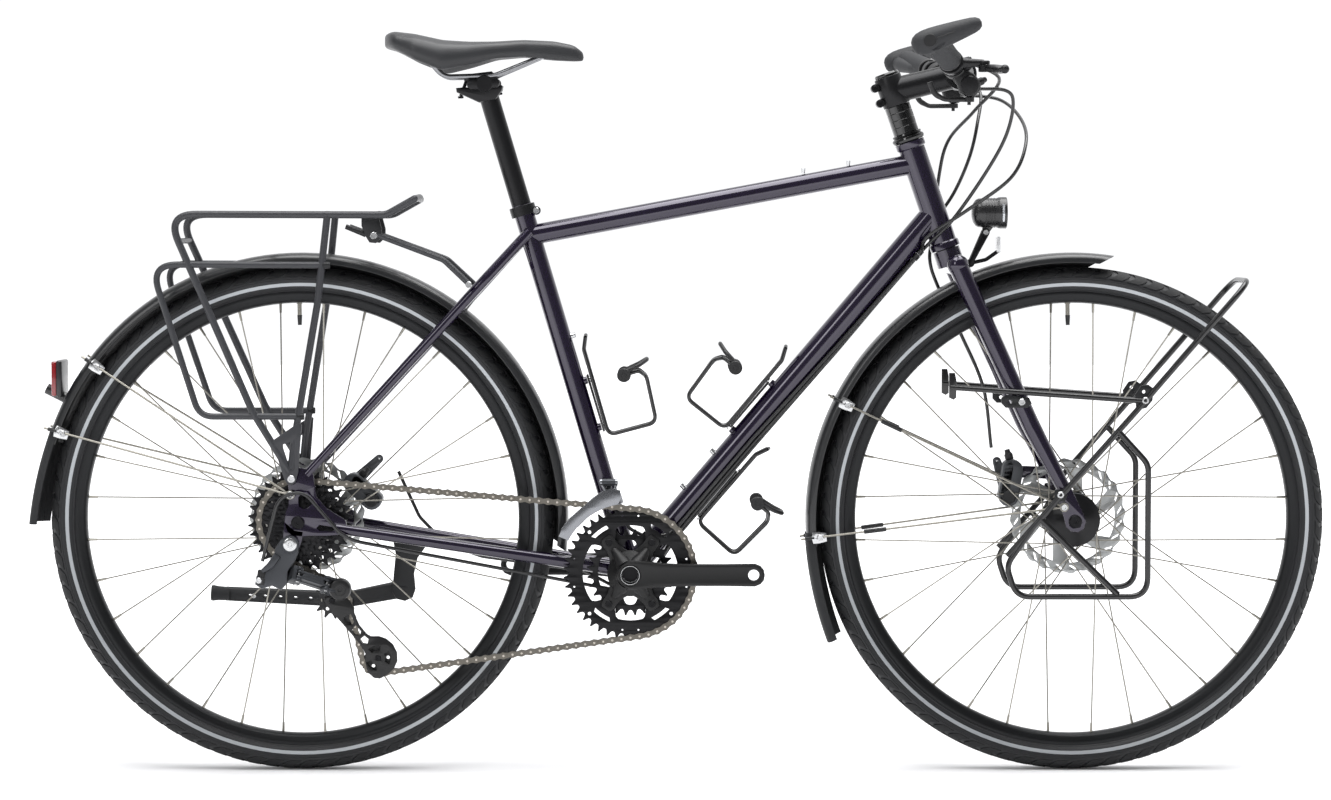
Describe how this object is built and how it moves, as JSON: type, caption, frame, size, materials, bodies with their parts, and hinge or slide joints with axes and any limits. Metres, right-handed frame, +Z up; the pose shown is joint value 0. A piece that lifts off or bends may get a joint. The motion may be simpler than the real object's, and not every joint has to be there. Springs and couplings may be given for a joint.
{
  "type": "touring bicycle",
  "caption": "Rigid diamond-frame touring bicycle with disc brakes, full mudguards, rear and low front racks, headlight, rear lamp, bottle cages and a folding kickstand.",
  "frame": {"origin": "on the ground below the middle of the bicycle", "axes": "+X forward, +Y to the rider's left, +Z up; the drive side faces -Y"},
  "size_m": [1.809, 0.6158, 1.0351],
  "materials": {
    "frame_paint": "gloss aubergine black paint",
    "satin_black_metal": "satin black coating",
    "gloss_black_metal": "gloss black coating",
    "anthracite_metal": "matt anthracite powder coat",
    "black_plastic": "moulded black plastic",
    "tyre_rubber": "matt rubber",
    "grip_rubber": "soft grey-black rubber",
    "stainless_steel": "bright stainless steel",
    "grey_alloy": "grey anodised alloy",
    "chain_nickel": "nickel plated steel",
    "black_steel": "black coated steel",
    "saddle_cover": "dark grey textured synthetic cover",
    "lamp_red": "red lens"
  },
  "bodies": {
    "frame_body": {"frame": "frame_paint", "bottom_bracket": "black_steel", "rear_mudguard": "satin_black_metal", "rear_rack": "anthracite_metal", "rear_light": "lamp_red", "bottle_cage_seat_tube": "gloss_black_metal", "bottle_cage_down_tube": "gloss_black_metal", "bottle_cage_underside": "gloss_black_metal", "rear_caliper": "grey_alloy", "front_derailleur_clamp": "satin_black_metal", "rear_axle": "black_steel", "frame_cables": "black_plastic", "chain": "chain_nickel"},
    "steering": {"fork": "frame_paint", "stem": "satin_black_metal", "handlebar": "satin_black_metal", "grip_right": "grip_rubber", "grip_left": "grip_rubber", "brake_lever_body_right": "satin_black_metal", "brake_lever_body_left": "satin_black_metal", "shifter_right": "black_plastic", "shifter_left": "black_plastic", "front_mudguard": "satin_black_metal", "front_rack": "gloss_black_metal", "front_caliper": "grey_alloy", "headlight_bracket": "black_steel", "front_axle": "black_steel", "front_brake_cable": "black_plastic", "cockpit_cables": "black_plastic"},
    "front_wheel_body": {"front_tyre": "tyre_rubber", "front_wheel": "satin_black_metal", "front_rotor": "stainless_steel"},
    "rear_wheel_body": {"rear_tyre": "tyre_rubber", "rear_wheel": "satin_black_metal", "rear_rotor": "stainless_steel"},
    "cassette_body": {"cassette": "black_steel"},
    "crankset": {"crank_arm_right": "satin_black_metal", "crank_arm_left": "satin_black_metal", "chainring_outer": "black_steel", "chainring_inner": "black_steel"},
    "seat_body": {"seatpost": "satin_black_metal", "saddle_rails": "black_steel", "saddle": "saddle_cover"},
    "kickstand": {"kickstand_leg": "satin_black_metal"},
    "brake_lever_right_body": {"brake_lever_right": "satin_black_metal"},
    "brake_lever_left_body": {"brake_lever_left": "satin_black_metal"},
    "thumb_lever_right_body": {"shift_thumb_lever_right": "black_plastic"},
    "thumb_lever_left_body": {"shift_thumb_lever_left": "black_plastic"},
    "front_caliper_arm_body": {"front_caliper_arm": "grey_alloy"},
    "rear_caliper_arm_body": {"rear_caliper_arm": "grey_alloy"},
    "headlight_body": {"headlight": "black_plastic"},
    "rear_derailleur_hanger_body": {"rear_derailleur_hanger_knuckle": "satin_black_metal"},
    "rear_derailleur_outer_link_body": {"rear_derailleur_outer_link": "grey_alloy"},
    "rear_derailleur_inner_link_body": {"rear_derailleur_inner_link": "grey_alloy"},
    "rear_derailleur_knuckle_body": {"rear_derailleur_cage_knuckle": "satin_black_metal"},
    "rear_derailleur_cage_body": {"rear_derailleur_cage": "black_steel"},
    "guide_pulley_body": {"guide_pulley": "black_plastic"},
    "tension_pulley_body": {"tension_pulley": "black_plastic"},
    "front_derailleur_link_body": {"front_derailleur_link": "grey_alloy"},
    "front_derailleur_cage_body": {"front_derailleur_cage": "stainless_steel"}
  },
  "joints": [
    {"name": "steering_turn", "type": "hinge", "parent": "frame_body", "child": "steering", "pos_m": [0.50696, 0, 0.351], "axis": [-0.3256, 0, 0.9455], "range_deg": [-45, 45], "deforming": ["cockpit_cables"]},
    {"name": "front_wheel_spin", "type": "hinge", "parent": "steering", "child": "front_wheel_body", "pos_m": [0.5535, 0, 0.351], "axis": [0, 1, 0], "continuous": true},
    {"name": "rear_wheel_spin", "type": "hinge", "parent": "frame_body", "child": "rear_wheel_body", "pos_m": [-0.5185, 0, 0.351], "axis": [0, 1, 0], "continuous": true},
    {"name": "crank_spin", "type": "hinge", "parent": "frame_body", "child": "crankset", "pos_m": [-0.06113, 0, 0.279], "axis": [0, 1, 0], "continuous": true, "deforming": ["chain"]},
    {"name": "cassette_spin", "type": "hinge", "parent": "frame_body", "child": "cassette_body", "pos_m": [-0.5185, 0, 0.351], "axis": [0, 1, 0], "continuous": true},
    {"name": "seatpost_slide", "type": "slide", "parent": "frame_body", "child": "seat_body", "axis": [-0.2857, 0, 0.9583], "range_m": [-0.03, 0.05]},
    {"name": "kickstand_fold", "type": "hinge", "parent": "frame_body", "child": "kickstand", "pos_m": [-0.3835, 0.066, 0.239], "axis": [0, 0.9063, 0.4226], "range_deg": [-70, 0]},
    {"name": "brake_lever_right_pull", "type": "hinge", "parent": "steering", "child": "brake_lever_right_body", "pos_m": [0.41572, -0.1596, 0.97055], "axis": [0, 0, 1], "range_deg": [-20, 0], "stiffness_Nm_per_rad": 0.8, "springref_deg": 5.73},
    {"name": "brake_lever_left_pull", "type": "hinge", "parent": "steering", "child": "brake_lever_left_body", "pos_m": [0.41572, 0.1596, 0.97055], "axis": [0, 0, 1], "range_deg": [0, 20], "stiffness_Nm_per_rad": 0.8, "springref_deg": -5.73},
    {"name": "thumb_lever_right_push", "type": "hinge", "parent": "steering", "child": "thumb_lever_right_body", "pos_m": [0.39774, -0.1344, 0.94821], "axis": [0, 0, 1], "range_deg": [0, 25], "stiffness_Nm_per_rad": 0.3, "springref_deg": -5.73},
    {"name": "thumb_lever_left_push", "type": "hinge", "parent": "steering", "child": "thumb_lever_left_body", "pos_m": [0.39774, 0.1344, 0.94821], "axis": [0, 0, 1], "range_deg": [-25, 0], "stiffness_Nm_per_rad": 0.3, "springref_deg": 5.73},
    {"name": "front_caliper_arm_pull", "type": "hinge", "parent": "steering", "child": "front_caliper_arm_body", "pos_m": [0.4695, 0.0605, 0.379], "axis": [0, 1, 0], "range_deg": [0, 15]},
    {"name": "rear_caliper_arm_pull", "type": "hinge", "parent": "frame_body", "child": "rear_caliper_arm_body", "pos_m": [-0.4525, 0.08, 0.397], "axis": [0, 1, 0], "range_deg": [-15, 0]},
    {"name": "headlight_tilt", "type": "hinge", "parent": "steering", "child": "headlight_body", "pos_m": [0.4325, 0, 0.75], "axis": [0, 1, 0], "range_deg": [-15, 20]},
    {"name": "rear_derailleur_hanger_turn", "type": "hinge", "parent": "frame_body", "child": "rear_derailleur_hanger_body", "pos_m": [-0.5275, -0.085, 0.3225], "axis": [0, 1, 0], "range_deg": [-12, 0], "stiffness_Nm_per_rad": 3, "springref_deg": 28.65},
    {"name": "rear_derailleur_outer_link_turn", "type": "hinge", "parent": "rear_derailleur_hanger_body", "child": "rear_derailleur_outer_link_body", "pos_m": [-0.51608, -0.09044, 0.28074], "axis": [0.141, 0.4469, 0.8834], "range_deg": [-30, 7], "stiffness_Nm_per_rad": 1, "springref_deg": 20.05},
    {"name": "rear_derailleur_inner_link_turn", "type": "hinge", "parent": "rear_derailleur_hanger_body", "child": "rear_derailleur_inner_link_body", "pos_m": [-0.5195, -0.08, 0.276], "axis": [0.141, 0.4469, 0.8834], "range_deg": [-30, 7]},
    {"name": "rear_derailleur_knuckle_turn", "type": "hinge", "parent": "rear_derailleur_inner_link_body", "child": "rear_derailleur_knuckle_body", "pos_m": [-0.4825, -0.064, 0.262], "axis": [0.141, 0.4469, 0.8834], "range_deg": [-7, 30]},
    {"name": "rear_derailleur_cage_swing", "type": "hinge", "parent": "rear_derailleur_knuckle_body", "child": "rear_derailleur_cage_body", "pos_m": [-0.4609, -0.06, 0.2586], "axis": [0, 1, 0], "range_deg": [-20, 25], "stiffness_Nm_per_rad": 1.2, "springref_deg": -34.38},
    {"name": "guide_pulley_spin", "type": "hinge", "parent": "rear_derailleur_cage_body", "child": "guide_pulley_body", "pos_m": [-0.4739, 0, 0.241], "axis": [0, 1, 0], "continuous": true},
    {"name": "tension_pulley_spin", "type": "hinge", "parent": "rear_derailleur_cage_body", "child": "tension_pulley_body", "pos_m": [-0.41051, 0, 0.1616], "axis": [0, 1, 0], "continuous": true},
    {"name": "front_derailleur_link_turn", "type": "hinge", "parent": "frame_body", "child": "front_derailleur_link_body", "pos_m": [-0.09113, -0.025, 0.384], "axis": [1, 0, 0], "range_deg": [-21, 0], "stiffness_Nm_per_rad": 1, "springref_deg": 11.46},
    {"name": "front_derailleur_cage_turn", "type": "hinge", "parent": "front_derailleur_link_body", "child": "front_derailleur_cage_body", "pos_m": [-0.09113, -0.038, 0.404], "axis": [1, 0, 0], "range_deg": [0, 21]}
  ],
  "couplings": [
    {"joint": "cassette_spin", "follows": "crank_spin", "ratio": 1.5714},
    {"joint": "guide_pulley_spin", "follows": "crank_spin", "ratio": -4},
    {"joint": "tension_pulley_spin", "follows": "crank_spin", "ratio": 4},
    {"joint": "front_caliper_arm_pull", "follows": "brake_lever_right_pull", "ratio": -0.75},
    {"joint": "rear_caliper_arm_pull", "follows": "brake_lever_left_pull", "ratio": -0.75},
    {"joint": "rear_derailleur_inner_link_turn", "follows": "rear_derailleur_outer_link_turn", "ratio": 1},
    {"joint": "rear_derailleur_knuckle_turn", "follows": "rear_derailleur_outer_link_turn", "ratio": -1},
    {"joint": "front_derailleur_cage_turn", "follows": "front_derailleur_link_turn", "ratio": -1}
  ]
}
